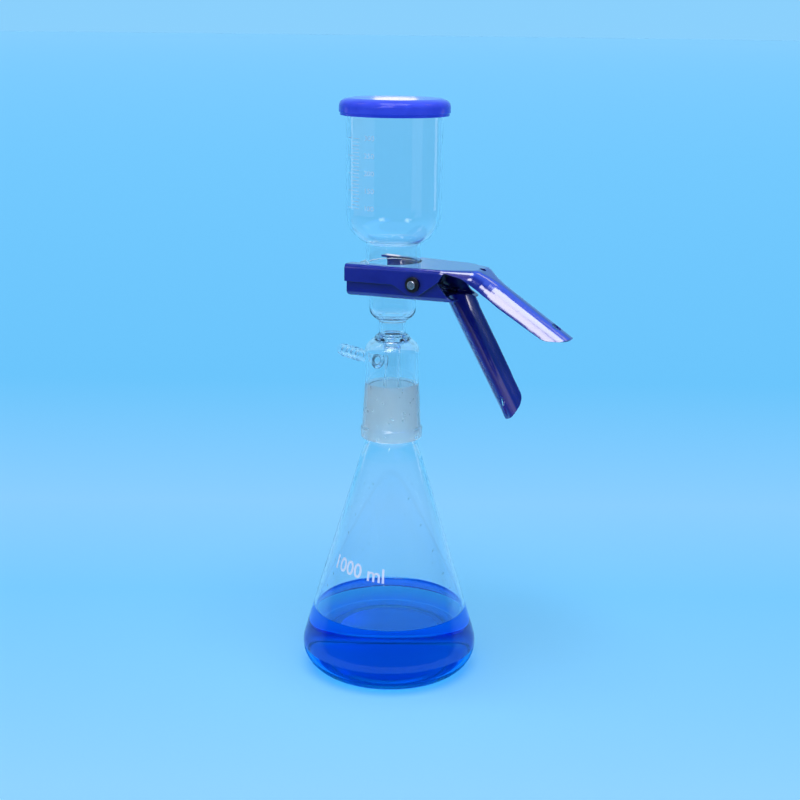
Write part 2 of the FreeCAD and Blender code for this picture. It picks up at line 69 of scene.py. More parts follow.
class Nodes:
    """Small helper that builds one node tree."""

    def __init__(self, tree):
        self.tree = tree
        tree.nodes.clear()

    def add(self, kind, sockets=None, **props):
        node = self.tree.nodes.new(kind)
        for key, value in props.items():
            setattr(node, key, value)
        for key, value in (sockets or {}).items():
            if isinstance(value, bpy.types.NodeSocket):
                self.tree.links.new(value, node.inputs[key])
            else:
                node.inputs[key].default_value = value
        return node

    def ramp(self, factor, stops, smooth=True):
        node = self.add("ShaderNodeValToRGB", {"Fac": factor})
        ramp = node.color_ramp
        ramp.interpolation = "EASE" if smooth else "LINEAR"
        while len(ramp.elements) < len(stops):
            ramp.elements.new(0.5)
        for element, (spot, colour) in zip(ramp.elements, stops):
            element.position = spot
            element.color = colour
        return node.outputs["Color"]

    def math(self, operation, a, b):
        return self.add("ShaderNodeMath", {0: a, 1: b}, operation=operation).outputs[0]

    def noise(self, scale, detail, rough, vector):
        sockets = {"Scale": scale, "Detail": detail, "Roughness": rough, "Vector": vector}
        return self.add("ShaderNodeTexNoise", sockets).outputs["Fac"]

    def place(self):
        return self.add("ShaderNodeNewGeometry").outputs["Position"]

    def axis(self, vector, name):
        return self.add("ShaderNodeSeparateXYZ", {"Vector": vector}).outputs[name]

    def flat_length(self, vector):
        """Length of the vector without its height."""
        flat = self.add("ShaderNodeVectorMath", {0: vector, 1: (1, 1, 0)}, operation="MULTIPLY")
        length = self.add("ShaderNodeVectorMath", {0: flat.outputs[0]}, operation="LENGTH")
        return length.outputs["Value"]

    def span(self, value, low, high, to_low=0.0, to_high=1.0):
        sockets = {"Value": value, "From Min": low, "From Max": high, "To Min": to_low, "To Max": to_high}
        return self.add("ShaderNodeMapRange", sockets).outputs["Result"]

    def mix(self, factor, one, two):
        return self.add("ShaderNodeMix", {0: factor, 6: one, 7: two}, data_type="RGBA").outputs[2]

    def mix_shader(self, factor, one, two):
        return self.add("ShaderNodeMixShader", {0: factor, 1: one, 2: two}).outputs[0]

    def bump(self, height, strength, distance, **sockets):
        sockets.update({"Height": height, "Strength": strength, "Distance": distance})
        return self.add("ShaderNodeBump", sockets).outputs[0]

    def principled(self, sockets):
        return self.add("ShaderNodeBsdfPrincipled", sockets).outputs[0]

    def output(self, surface, **sockets):
        self.add("ShaderNodeOutputMaterial", {"Surface": surface, **sockets})


def material(name):
    """New material and the helper that builds its nodes."""
    made = bpy.data.materials.new(name)
    made.use_nodes = True
    return made, Nodes(made.node_tree)


# === materials ===================================================================
CLEAR_TINT = (0.996, 0.998, 1.0, 1.0)
SHADOW_TINT = (0.84, 0.89, 0.90, 1.0)  # what one glass surface leaves of the light behind it
GLASS_IOR, WATER_IOR = 1.47, 1.333


def finish_glass(n, surface):
    """Lets shadow rays straight through the glass."""
    path = n.add("ShaderNodeLightPath")
    through = n.add("ShaderNodeBsdfTransparent", {"Color": SHADOW_TINT})
    n.output(n.mix_shader(path.outputs["Is Shadow Ray"], surface, through.outputs[0]))


def clear_glass_material(name, ior=GLASS_IOR, tint=CLEAR_TINT, rough=0.0):
    """Clear blown glass with faint waves."""
    made, n = material(name)
    waves = n.bump(n.noise(38, 2, 0.4, n.place()), 0.05, 0.0004)
    sockets = {"Color": tint, "Roughness": rough, "IOR": ior, "Normal": waves}
    finish_glass(n, n.add("ShaderNodeBsdfGlass", sockets).outputs[0])
    return made


def ground_glass_material():
    """Frosted ground glass: rough clear glass with a little chalky white in it."""
    made, n = material("ground_glass")
    spot = n.place()
    rough = n.span(n.noise(160, 3, 0.5, spot), 0.3, 0.7, 0.26, 0.36)
    grit = n.bump(n.noise(900, 2, 0.5, spot), 0.03, 0.0002)
    frosted = {"Color": (0.95, 0.965, 0.955, 1), "Roughness": rough, "IOR": GLASS_IOR, "Normal": grit}
    clear = n.add("ShaderNodeBsdfGlass", frosted)
    white = n.add("ShaderNodeBsdfTranslucent", {"Color": (0.86, 0.91, 0.93, 1)})
    milk = n.add("ShaderNodeBsdfDiffuse", {"Color": (0.80, 0.87, 0.90, 1)})
    chalk = n.mix_shader(0.55, white.outputs[0], milk.outputs[0])
    finish_glass(n, n.mix_shader(0.22, clear.outputs[0], chalk))
    return made


def liquid_material():
    """Blue liquid: refracts at its free surface, is joined to the glass elsewhere, absorbs inside."""
    made, n = material("blue_filtrate")
    ripple = n.bump(n.noise(55, 2, 0.5, n.place()), 0.04, 0.0004)
    # painted shade: the free surface's tint darkens what is seen through it, the floor in the flask's
    # shadow
    water = {"Color": (0.78, 0.94, 0.86, 1), "Roughness": 0.0, "IOR": WATER_IOR, "Normal": ripple}
    top = n.add("ShaderNodeBsdfGlass", water)
    wall = n.add("ShaderNodeBsdfTransparent", {"Color": (1, 1, 1, 1)})
    free = n.add("ShaderNodeAttribute", attribute_name="free_surface").outputs["Fac"]
    lit = n.math("SUBTRACT", 1.0, n.add("ShaderNodeLightPath").outputs["Is Shadow Ray"])
    surface = n.mix_shader(n.math("MULTIPLY", free, lit), wall.outputs[0], top.outputs[0])
    depth = n.add("ShaderNodeVolumeAbsorption", {"Color": (0.0, 0.7625, 0.960, 1), "Density": 40.0})
    n.output(surface, Volume=depth.outputs[0])
    return made


def paint_material():
    """Glossy blue paint on sheet steel, with painted shade darkening its creases, and with softened
    edges.
    """
    made, n = material("blue_paint")
    spot = n.place()
    broad = n.noise(70, 3, 0.5, spot)
    peel = n.noise(900, 2, 0.5, spot)
    colour = n.mix(n.span(broad, 0.35, 0.65), rgb(8, 17, 139), rgb(12, 23, 150))
    # painted shade: ambient occlusion blends the paint towards near-black blue in creases, seams and
    # under the flanges
    open_air = n.add("ShaderNodeAmbientOcclusion", {"Distance": 0.005}, samples=8).outputs["AO"]
    colour = n.mix(n.span(open_air, 0.45, 0.95), rgb(4, 6, 62), colour)
    rough = n.span(broad, 0.3, 0.7, 0.16, 0.22)
    edge = n.add("ShaderNodeBevel", {"Radius": 0.0005}, samples=6).outputs["Normal"]
    orange_peel = n.bump(peel, 0.05, 0.0002, Normal=edge)
    coat = {"Coat Weight": 0.8, "Coat Roughness": 0.09, "Coat IOR": 1.6}
    base = {"Base Color": colour, "Roughness": rough, "IOR": 1.7, "Normal": orange_peel}
    n.output(n.principled({**base, **coat}))
    return made


def plastic_material():
    """Semi-gloss moulded blue plastic."""
    made, n = material("blue_plastic")
    spot = n.place()
    broad = n.noise(90, 3, 0.5, spot)
    grain = n.noise(1500, 3, 0.6, spot)
    colour = n.mix(n.span(broad, 0.35, 0.65), rgb(62, 78, 226), rgb(68, 86, 235))
    rough = n.span(grain, 0.3, 0.7, 0.10, 0.16)
    fine = n.bump(grain, 0.06, 0.0002)
    n.output(n.principled({"Base Color": colour, "Roughness": rough, "IOR": 1.22, "Normal": fine}))
    return made


def steel_material(name, colour, low, high, metallic=1.0):
    """Steel with fine turning or drawing marks."""
    made, n = material(name)
    spot = n.place()
    marks = n.noise(1100, 3, 0.6, spot)
    shade = n.mix(n.span(marks, 0.3, 0.7), [c * 0.85 for c in colour[:3]] + [1], colour)
    rough = n.span(marks, 0.3, 0.7, low, high)
    n.output(n.principled({"Base Color": shade, "Roughness": rough, "Metallic": metallic}))
    return made


def porous_material(name, one, two, scale):
    """Matte porous white: sintered glass or membrane."""
    made, n = material(name)
    spot = n.place()
    grain = n.noise(scale, 4, 0.7, spot)
    colour = n.mix(grain, one, two)
    pores = n.bump(grain, 0.3, 0.0002)
    n.output(n.principled({"Base Color": colour, "Roughness": 0.85, "Normal": pores}))
    return made


def print_material(name, cover):
    """White enamel print on glass, of which the share `cover` hides what is behind it."""
    made, n = material(name)
    spot = n.place()
    worn = n.noise(900, 3, 0.6, spot)
    colour = n.mix(n.span(worn, 0.35, 0.65), rgb(228, 226, 248), rgb(246, 240, 255))
    enamel = n.principled({"Base Color": colour, "Roughness": 0.5})
    clear = n.add("ShaderNodeBsdfTransparent")
    n.output(n.mix_shader(cover, clear.outputs[0], enamel))
    return made


CLEAR = clear_glass_material("clear_glass")
WET = clear_glass_material("glass_in_liquid", ior=1.05, tint=(0.36, 0.80, 1.0, 1.0))
# painted shade: the underside's grey-blue tint darkens the floor seen through the flask's foot, where the
# flask's shadow lies
SHADED_UNDERSIDE = clear_glass_material("glass_underside", tint=(0.42, 0.70, 0.78, 1.0), rough=0.22)
GROUND = ground_glass_material()
WATER = clear_glass_material("clear_drops", ior=WATER_IOR)
LIQUID = liquid_material()
PAINT = paint_material()
PLASTIC = plastic_material()
PIN_STEEL = steel_material("pin_steel", rgb(196, 199, 208), 0.18, 0.34)
BLACK = steel_material("black_steel", rgb(26, 26, 32), 0.3, 0.45, 0.4)
SPRING = steel_material("spring_steel", rgb(150, 152, 160), 0.25, 0.4)
FRIT = porous_material("sintered_glass", rgb(226, 234, 244), rgb(204, 216, 232), 1800)
MEMBRANE = porous_material("membrane", rgb(240, 242, 246), rgb(228, 232, 240), 900)
PRINT = print_material("white_print", 0.8)
FAINT = print_material("faint_print", 0.62)


# === turned glass ================================================================
def outline(corners):
    """Closed outline through (radius, height[, fillet radius]) corners, all in millimetres."""
    spots = [Vector(corner[:2]) for corner in corners]
    points = []
    for i, corner in enumerate(spots):
        radius = corners[i][2] if len(corners[i]) > 2 else 0.0
        back = (spots[i - 1] - corner).normalized()
        ahead = (spots[(i + 1) % len(spots)] - corner).normalized()
        half = back.angle(ahead) / 2
        if radius <= 0 or half > math.pi / 2 - 1e-3:
            points.append(corner)
            continue
        reach = radius / math.tan(half)
        inwards = (back + ahead).normalized()
        centre = corner + inwards * (radius / math.sin(half))
        start = corner + back * reach
        turn = math.pi - 2 * half
        side = 1 if back.x * ahead.y - back.y * ahead.x < 0 else -1
        steps = max(2, min(24, int(math.degrees(turn) / 5) + 1))
        for k in range(steps + 1):
            swing = Matrix.Rotation(side * turn * k / steps, 2)
            points.append(centre + swing @ (start - centre))
    return points


def refine(points, longest):
    """Splits the long straight runs of a closed outline so that faces stay near square."""
    out = []
    for i, start in enumerate(points):
        end = points[(i + 1) % len(points)]
        steps = max(1, math.ceil((end - start).length / longest))
        out += [start.lerp(end, k / steps) for k in range(steps)]
    return out


def smooth_by_angle(obj, degrees):
    """Smooth shading with hard edges kept sharp."""
    for face in obj.data.polygons:
        face.use_smooth = True
    obj.data.set_sharp_from_angle(angle=math.radians(degrees))


def link(mesh, name):
    """Object of that name for the mesh, in the scene."""
    obj = bpy.data.objects.new(name, mesh)
    bpy.context.scene.collection.objects.link(obj)
    return obj


def turned(name, corners, materials, choose=None, segments=128, longest=6.0, free=None):
    """Solid turned about Z.

    choose and free take a face's (radius, height, normal). choose gives the face's material index,
    and free says whether it belongs to the liquid's free surface.
    """
    points = refine(outline(corners), longest)
    mesh = bpy.data.meshes.new(name)
    bm = bmesh.new()
    rings = []
    for point in points:
        radius, height = point * MM
        if abs(radius) < 1e-4 * MM:
            rings.append([bm.verts.new((0, 0, height))] * segments)
            continue
        ring = []
        for k in range(segments):
            turn = 2 * math.pi * (k + 0.5) / segments
            ring.append(bm.verts.new((radius * math.cos(turn), radius * math.sin(turn), height)))
        rings.append(ring)
    for one, two in zip(rings, rings[1:] + rings[:1]):
        for k in range(segments):
            beyond = (k + 1) % segments
            around = []
            for vert in (one[k], one[beyond], two[beyond], two[k]):
                if vert not in around:
                    around.append(vert)
            if len(around) >= 3:
                bm.faces.new(around)
    bmesh.ops.recalc_face_normals(bm, faces=bm.faces)
    if bm.calc_volume(signed=True) < 0:
        bmesh.ops.reverse_faces(bm, faces=bm.faces)
    if choose:
        for face in bm.faces:
            middle = face.calc_center_median() / MM
            face.material_index = choose(middle.xy.length, middle.z, face.normal)
    bm.to_mesh(mesh)
    bm.free()
    for look in materials:
        mesh.materials.append(look)
    obj = link(mesh, name)
    smooth_by_angle(obj, 50)
    if free:
        flag = mesh.attributes.new("free_surface", "FLOAT", "FACE")
        for face in mesh.polygons:
            middle = face.center / MM
            is_free = free(middle.xy.length, middle.z, face.normal)
            flag.data[face.index].value = 1.0 if is_free else 0.0
    return obj


# === sizes shared with the solid model, in millimetres ===========================
WALL = 2.0
FLASK_RADIUS = 65.5
FLASK_FLOOR = 3.0
PUSH_UP = 1.5  # how far the flask's underside is pushed in
CORNER = 20.6  # rounding of the flask's foot
SLOPE = 0.2998  # what the cone loses in radius for each millimetre of height
LEAN = math.hypot(1, SLOPE)
LEVEL, CREEP = 47.8, 1.3  # the liquid's surface, and how far it climbs the wall
JOIN = 0.02  # gap between liquid and glass
NECK_LOW, NECK_TOP = 185.0, 220.0
JOINT_WIDE, JOINT_NARROW = 20.0, 18.25
JOINT_GAP = 0.05
TUBE_LOW, TUBE_BORE, TUBE_RADIUS = 192, 4.4, 6.0
SEAL_LOW, SEAL_HIGH = 252.1, 257.1
STEM_BORE, STEM_RADIUS = 7.6, 9.8
BOWL_BORE, BOWL_RADIUS = 14.9, 16.9
BELL_RADIUS, BEAD_RADIUS = 19.8, 22.8
FLANGE_RADIUS, FLANGE_LOW = 24.5, 290.55
FRIT_RADIUS, LEDGE, SEAT = 17.55, 296.35, 300.3
CUP_LOW, CUP_FLANGE_TOP, CUP_TOP = 300.45, 310.2, 425.35
CUP_NECK, CUP_NECK_HEIGHT, CUP_RADIUS, CUP_RIM = 19.8, 24.4, 34.3, 37.2
CUP_SHOULDER_RISE = 29.0  # degrees above the level
LID_RADIUS, LID_BORE, LID_LOW, LID_TOP = 39.5, 37.6, 415.05, 427.45
ARM_BORE, ARM_RADIUS, ARM_ROOT, BARB_RADIUS = 2.9, 4.3, 6.4, 5.1
ARM_START, ARM_END, ARM_HEIGHT, ARM_TURN = 18.9, 65.5, 235.0, 126.8
BARBS, BARB_PITCH = 4, 6.0


def cone(height, depth=0.0):
    """Radius of the flask's cone at a height, or of a surface that deep inside its wall."""
    return FLASK_RADIUS + CORNER * (LEAN + SLOPE - 1) - SLOPE * height - depth * LEAN


def joint(height):
    """Radius of the ground joint at a height."""
    taper = (JOINT_WIDE - JOINT_NARROW) / (NECK_TOP - NECK_LOW)
    return JOINT_NARROW + taper * (NECK_TOP - height)


# === flask and liquid ============================================================
def floor_outline(gap):
    """Corners along the inside of the flask's foot, that far off the glass."""
    floor, wall = FLASK_FLOOR + gap, WALL + gap
    return [
        (cone(floor, wall), floor, CORNER - wall),
        (42, floor, 10),
        (34, floor + PUSH_UP, 10),
        (0, floor + PUSH_UP),
    ]


flask_corners = [
    (0, PUSH_UP),
    (38, PUSH_UP, 8),
    (43, 0, 4),
    (cone(0), 0, CORNER),
    (cone(168), 168, 25),
    (17.6, 181, 2),
    (JOINT_WIDE, NECK_LOW, 0.6),
    (JOINT_NARROW, NECK_TOP, 0.8),
    (16.2, NECK_TOP, 0.8),
    (15.6, 177, 12),
    (cone(166, WALL), 166, 22),
    (cone(LEVEL + CREEP, WALL), LEVEL + CREEP),
    (cone(LEVEL, WALL), LEVEL),
] + floor_outline(0)


def flask_part(r, z, normal):
    """Place in FLASK_LOOKS of the glass at a face."""
    if z < PUSH_UP + 0.1 and normal.z < -0.8:
        return 3
    if NECK_LOW + 0.2 < z < NECK_TOP - 0.6 and r > JOINT_NARROW - 0.35:
        return 1
    inner = z > FLASK_FLOOR - 0.4 and r < cone(z, WALL / 2)
    return 2 if inner and z < LEVEL + CREEP - 0.1 else 0


FLASK_LOOKS = [CLEAR, GROUND, WET, SHADED_UNDERSIDE]
flask = turned("glass_flask", flask_corners, FLASK_LOOKS, flask_part, longest=5.0)

filtrate_corners = [
    (0, LEVEL),
    (cone(LEVEL, WALL + JOIN) - 1.6, LEVEL, 2.5),
    (cone(LEVEL + CREEP, WALL + JOIN) - 0.15, LEVEL + CREEP),
    (cone(LEVEL + CREEP, WALL + JOIN), LEVEL + CREEP),
] + floor_outline(JOIN)
filtrate = turned(
    "blue_filtrate_body",
    filtrate_corners,
    [LIQUID],
    free=lambda r, z, normal: normal.z > 0.3,
)


# === cup and lid =================================================================
def cup_outline():
    """Corners of the cup, whose shoulder has the largest fillet that fits above the neck's."""
    neck_fillet = 4
    slope = math.tan(math.radians(CUP_SHOULDER_RISE))
    rise = WALL * math.hypot(1, slope) - slope * WALL
    widening = CUP_RADIUS - CUP_NECK
    neck_top = CUP_LOW + CUP_NECK_HEIGHT
    side_low = neck_top + slope * widening
    half_turn = math.radians(90 - CUP_SHOULDER_RISE) / 2
    shoulder = 0.995 * widening * math.hypot(1, slope) / math.tan(half_turn) - neck_fillet
    return [
        (CUP_NECK - WALL, CUP_LOW),
        (FLANGE_RADIUS, CUP_LOW, 0.8),
        (FLANGE_RADIUS, CUP_FLANGE_TOP, 0.8),
        (CUP_NECK, CUP_FLANGE_TOP, 0.8),
        (CUP_NECK, neck_top, neck_fillet),
        (CUP_RADIUS, side_low, shoulder),
        (CUP_RADIUS, CUP_TOP - 4.8, 3),
        (CUP_RIM, CUP_TOP - 3.2, 1.2),
        (CUP_RIM, CUP_TOP, 1.3),
        (CUP_RADIUS - 0.6, CUP_TOP, 1.3),
        (CUP_RADIUS - WALL, CUP_TOP - 4.2, 4),
        (CUP_RADIUS - WALL, side_low + rise, shoulder - WALL),
        (CUP_NECK - WALL, neck_top + rise, 6),
    ]


cup = turned("glass_cup", cup_outline(), [CLEAR], longest=5.0)

lid_corners = [
    (0, LID_TOP),
    (34.0, LID_TOP - 0.56, 12),
    (LID_RADIUS, LID_TOP - 3.0, 5),
    (LID_RADIUS, LID_LOW + 2.3, 0.3),
    (LID_RADIUS - 0.7, LID_LOW + 1.8, 0.2),
    (LID_RADIUS - 0.7, LID_LOW, 0.5),
    (LID_BORE - 0.1, LID_LOW, 0.3),
    (LID_BORE, LID_LOW + 1.8, 0.5),
    (LID_BORE, CUP_TOP, 0.8),
    (0, CUP_TOP),
]
lid = turned("plastic_lid", lid_corners, [PLASTIC], segments=160, longest=3.0)

# === filter base: stem, bell and hose arm, in the real thing one piece of glass ===
stem_corners = [
    (FRIT_RADIUS, SEAT),
    (FRIT_RADIUS, LEDGE),
    (BOWL_BORE, LEDGE, 0.5),
    (BOWL_BORE, 273, 6),
    (STEM_BORE, 271, 3),
    (STEM_BORE, SEAL_HIGH + 1, 5),
    (TUBE_BORE, SEAL_LOW, 5),
    (TUBE_BORE, TUBE_LOW),
    (TUBE_RADIUS, TUBE_LOW),
    (TUBE_RADIUS, SEAL_LOW - 1, 3),
    (12.2, SEAL_LOW, 1.5),
    (12.2, SEAL_HIGH, 1.2),
    (STEM_RADIUS, SEAL_HIGH + 1.4, 1.0),
    (STEM_RADIUS, 268, 2.5),
    (BOWL_RADIUS, 272.6, 8),
    (BOWL_RADIUS, FLANGE_LOW, 1.5),
    (FLANGE_RADIUS, FLANGE_LOW, 0.8),
    (FLANGE_RADIUS, SEAT, 0.8),
]
stem = turned("glass_bowl_and_stem", stem_corners, [CLEAR], longest=5.0)

bell_corners = [
    (10.2, 256.2),
    (12.2, 256.2, 1),
    (BELL_RADIUS, 249.6, 8),
    (BELL_RADIUS, 224, 20),
    (joint(189.5) + 1.9, 190, 3),
    (BEAD_RADIUS, 188.5, 2),
    (BEAD_RADIUS, 180.5, 2.2),
    (joint(180.5) + JOINT_GAP, 180.5, 0.8),
    (joint(222) + JOINT_GAP, 222, 4),
    (18.0, 248.4, 6.5),
    (10.2, 253.4),
]


def bell_part(r, z, normal):
    """1, for ground glass, inside the joint and 0 elsewhere."""
    return 1 if z < NECK_TOP + 1.5 and r < joint(z) + 0.4 else 0


bell = turned("glass_bell", bell_corners, [CLEAR, GROUND], bell_part, longest=4.0)

arm_corners = [
    (ARM_BORE, ARM_START),
    (ARM_ROOT, ARM_START),
    (ARM_ROOT, ARM_START + 1.5, 1),
    (ARM_RADIUS, ARM_START + 5.4, 4),
]
for barb in range(BARBS):
    back = ARM_END - 2.0 - BARB_PITCH * (BARBS - barb)
    arm_corners += [
        (ARM_RADIUS, back, 0.5),
        (BARB_RADIUS, back + 1.7, 0.8),
        (ARM_RADIUS, back + 5.5, 0.5),
    ]
arm_corners += [(ARM_RADIUS, ARM_END, 0.8), (ARM_BORE, ARM_END, 0.4)]
arm = turned("glass_hose_arm", arm_corners, [CLEAR], segments=64, longest=2.5)
lay = Matrix.Rotation(math.radians(ARM_TURN), 4, "Z") @ Matrix.Rotation(math.radians(90), 4, "Y")
arm.data.transform(Matrix.Translation((0, 0, ARM_HEIGHT * MM)) @ lay)

for obj in (bell, stem, arm):
    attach(obj, "unit")
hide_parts("filter_base")
for obj, node in ((flask, "flask"), (filtrate, "filtrate"), (cup, "funnel_cup"), (lid, "lid")):
    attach(obj, "unit")
    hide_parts(node)

# === pieces that keep the solid model's mesh =====================================
for name, look in (
    ("upper_lever", PAINT),
    ("lower_lever", PAINT),
    ("pivot_pin", PIN_STEEL),
    ("retaining_washers", BLACK),
    ("fritted_disc", FRIT),
    ("membrane_filter", MEMBRANE),
):
    mesh = nodes[name].data
    mesh.materials.clear()
    mesh.materials.append(look)

# A copy of the solid model's spring, in spring steel, takes its place.
spring = link(nodes["torsion_spring"].data.copy(), "spring_wire")
spring.data.materials.clear()
spring.data.materials.append(SPRING)
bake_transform(spring)
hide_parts("torsion_spring")


# === printed marks and drops =====================================================
def flat_text(name, body, size, bold):
    """Mesh of the text laid flat."""
    curve = bpy.data.curves.new(name, "FONT")
    curve.body = body
    curve.size = size
    curve.resolution_u = 4
    curve.offset = bold
    flat = bpy.data.objects.new(name + "_flat", curve)
    bpy.context.scene.collection.objects.link(flat)
    bpy.context.view_layer.update()
    mesh = bpy.data.meshes.new_from_object(flat.evaluated_get(bpy.context.evaluated_depsgraph_get()))
    bpy.data.objects.remove(flat)
    return mesh


def printed(name, body, size, wrap, look, squeeze, bold=0.0):
    """Text cut fine enough to bend, then wrapped onto the glass by wrap(x, y) in millimetres."""
    mesh = flat_text(name, body, size, bold)
    bm = bmesh.new()
    bm.from_mesh(mesh)
    bmesh.ops.remove_doubles(bm, verts=bm.verts, dist=1e-5)
    long_edges = [e for e in bm.edges if e.calc_length() > size * 0.18]
    bmesh.ops.subdivide_edges(bm, edges=long_edges, cuts=2)
    bmesh.ops.triangulate(bm, faces=bm.faces)
    for vert in bm.verts:
        vert.co = wrap(vert.co.x * squeeze, vert.co.y)
    bm.to_mesh(mesh)
    bm.free()
    mesh.materials.clear()
    mesh.materials.append(look)
    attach(link(mesh, name), "unit")


CUP_INK, FLASK_INK = 0.04, 0.05  # how far the print stands off the glass
CUP_PRINT_RADIUS = CUP_RADIUS + CUP_INK
CUP_DEGREE = math.radians(1) * CUP_PRINT_RADIUS  # one degree of the cup's girth


def on_cup(x, y):
    """Point on the cup's outside: x along its girth from the front, y its height."""
    turn = math.radians(-90) + x / CUP_PRINT_RADIUS
    return Vector((CUP_PRINT_RADIUS * math.cos(turn), CUP_PRINT_RADIUS * math.sin(turn), y)) * MM


def strokes(name, lines, width, wrap):
    """Printed strokes, each from (x0, y) to (x1, y), wrapped like the text."""
    mesh = bpy.data.meshes.new(name)
    verts, faces = [], []
    for x0, x1, y in lines:
        steps = max(2, int((x1 - x0) / 0.8))
        for k in range(steps + 1):
            x = x0 + (x1 - x0) * k / steps
            verts += [wrap(x, y - width / 2), wrap(x, y + width / 2)]
            if k:
                i = len(verts)
                faces.append((i - 4, i - 2, i - 1, i - 3))
    mesh.from_pydata(verts, [], faces)
    mesh.materials.append(FAINT)
    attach(link(mesh, name), "unit")


NUMBER_TOP, NUMBER_STEP = 400.2, 12.1  # height of the highest number, and how far apart they are
NUMBER_START = -37.5  # degrees from the front
NUMBER_SIZE = 5.0
for row, volume in enumerate((300, 250, 200, 150, 100)):
    foot = NUMBER_TOP - row * NUMBER_STEP - 1.2
    printed(
        f"cup_mark_{volume}",
        str(volume),
        NUMBER_SIZE,
        lambda x, y, foot=foot: on_cup(x + NUMBER_START * CUP_DEGREE, y + foot),
        FAINT,
        squeeze=1.12,
    )

TICK_LOW, TICK_TOP, TICK_GAPS, GAPS_TO_LONG = 351.6, 400.0, 20, 5
LONG_TICK, SHORT_TICK, TICK_END = -69, -59, -45  # degrees from the front
TICK_WIDTH = 0.34
ticks = []
for step in range(TICK_GAPS + 1):
    level = TICK_LOW + step * (TICK_TOP - TICK_LOW) / TICK_GAPS
    first = SHORT_TICK if step % GAPS_TO_LONG else LONG_TICK
    ticks.append((first * CUP_DEGREE, TICK_END * CUP_DEGREE, level))
strokes("cup_ticks", ticks, TICK_WIDTH, on_cup)

MARK_HEIGHT, MARK_SIZE = 93.0, 14.6
MARK_START, MARK_FOOT, MARK_TILT = -47.8, -6.6, -0.10


def on_cone(x, y):
    """Point on the flask's cone: x along its girth from the front, y up its slope."""
    height = MARK_HEIGHT + y / LEAN
    radius = cone(height) + FLASK_INK
    turn = math.radians(-90) + x / cone(MARK_HEIGHT)
    return Vector((radius * math.cos(turn), radius * math.sin(turn), height)) * MM


printed(
    "flask_mark",
    "1000 ml",
    MARK_SIZE,
    lambda x, y: on_cone(x + MARK_START, y + MARK_FOOT + MARK_TILT * x),
    PRINT,
    squeeze=0.94,
    bold=0.22,
)

# drops on the inside of the cone: degrees from the front, height and radius
random.seed(5)
drop_spots = [
    (28, 140, 0.9),
    (40, 120, 0.8),
    (-55, 112, 0.8),
    (-58, 92, 0.9),
    (-62, 80, 0.7),
    (58, 82, 0.8),
    (-30, 150, 0.7),
    (-50, 126, 0.6),
    (-66, 70, 0.7),
    (63, 70, 0.7),
    (50, 100, 0.7),
]
FINE_DROPS = 46
for _ in range(FINE_DROPS):
    drop_spots.append((random.uniform(-80, 80), random.uniform(56, 155), random.uniform(0.25, 0.6)))
drops = bpy.data.meshes.new("glass_drops")
bm = bmesh.new()
for degrees, height, radius in drop_spots:
    turn = math.radians(degrees - 90)
    reach = cone(height, WALL) - 0.02
    spot = Vector((reach * math.cos(turn), reach * math.sin(turn), height)) * MM
    squash = Matrix.Diagonal((1.0, 0.45, 1.1, 1.0))
    facing = Matrix.Rotation(turn + math.pi / 2, 4, "Z")
    place = Matrix.Translation(spot) @ facing @ squash @ Matrix.Scale(radius * MM, 4)
    bmesh.ops.create_uvsphere(bm, u_segments=14, v_segments=8, radius=1.0, matrix=place)
bm.to_mesh(drops)
bm.free()
drops.materials.append(WATER)
drops_obj = link(drops, "glass_drops")
smooth_by_angle(drops_obj, 80)
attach(drops_obj, "unit")


# === stage =======================================================================
def rays_that_see(n):
    """1 for camera, glossy and transmission rays."""
    path = n.add("ShaderNodeLightPath")
    seen = n.math("MAXIMUM", path.outputs["Is Camera Ray"], path.outputs["Is Glossy Ray"])
    return n.math("MAXIMUM", seen, path.outputs["Is Transmission Ray"])


def sideways_dimming(n, way, low):
    """1 towards the backdrop behind the object, falling to `low` at the sides and in front."""
    length = n.math("MAXIMUM", n.flat_length(way), 0.001)
    ahead = n.math("DIVIDE", n.axis(way, "Y"), length)
    return n.span(ahead, 0.25, 0.9, low, 1.0)


OVERHEAD = (0.32, 0.85, 3.3, 1)  # bright blue patch high on the right, for reflections
MATTE_FILL = (0.72, 0.86, 1.0, 1)


def studio_world():
    """Pale blue backdrop, darker beside the object, and a plain fill light for matte surfaces."""
    made = bpy.data.worlds.new("studio")
    made.use_nodes = True
    n = Nodes(made.node_tree)
    toward = n.add("ShaderNodeTexCoord").outputs["Generated"]
    rise, right = n.axis(toward, "Z"), n.axis(toward, "X")
    sky_tones = [
        (0.0, rgb(138, 208, 253)),
        (0.25, rgb(140, 210, 254)),
        (0.6, rgb(150, 214, 254)),
        (1.0, rgb(130, 200, 250)),
    ]
    sky = n.ramp(n.span(rise, -0.05, 0.9), sky_tones)
    shiny = n.add("ShaderNodeLightPath").outputs["Is Glossy Ray"]
    beside = n.mix(shiny, rgb(78, 160, 222), rgb(34, 110, 178))
    backdrop = n.mix(sideways_dimming(n, toward, 0.0), beside, sky)
    overhead = n.math("MULTIPLY", n.span(rise, 0.55, 0.75), n.span(right, 0.05, 0.3))
    backdrop = n.mix(n.math("MULTIPLY", overhead, shiny), backdrop, OVERHEAD)
    shown = n.add("ShaderNodeBackground", {"Color": backdrop, "Strength": 1.0})
    fill = n.add("ShaderNodeBackground", {"Color": MATTE_FILL, "Strength": FILL})
    surface = n.mix_shader(rays_that_see(n), fill.outputs[0], shown.outputs[0])
    n.add("ShaderNodeOutputWorld", {"Surface": surface})
    return made


bpy.context.scene.world = studio_world()

# the floor's tone by the distance behind the front line, in metres: pale in front, deeper round
# the foot, a pale band behind it, then deep blue that gets paler towards the far end
FRONT_LINE, NEAREST, FLOOR_REACH = -0.45, 0.2, 60.0
FLOOR_TONES = [
    (0.25, rgb(138, 199, 237)),
    (0.6, rgb(116, 191, 238)),
    (0.85, rgb(132, 194, 237)),
    (1.4, rgb(102, 185, 233)),
    (5.0, rgb(110, 189, 235)),
    (40.0, rgb(126, 194, 236)),
]


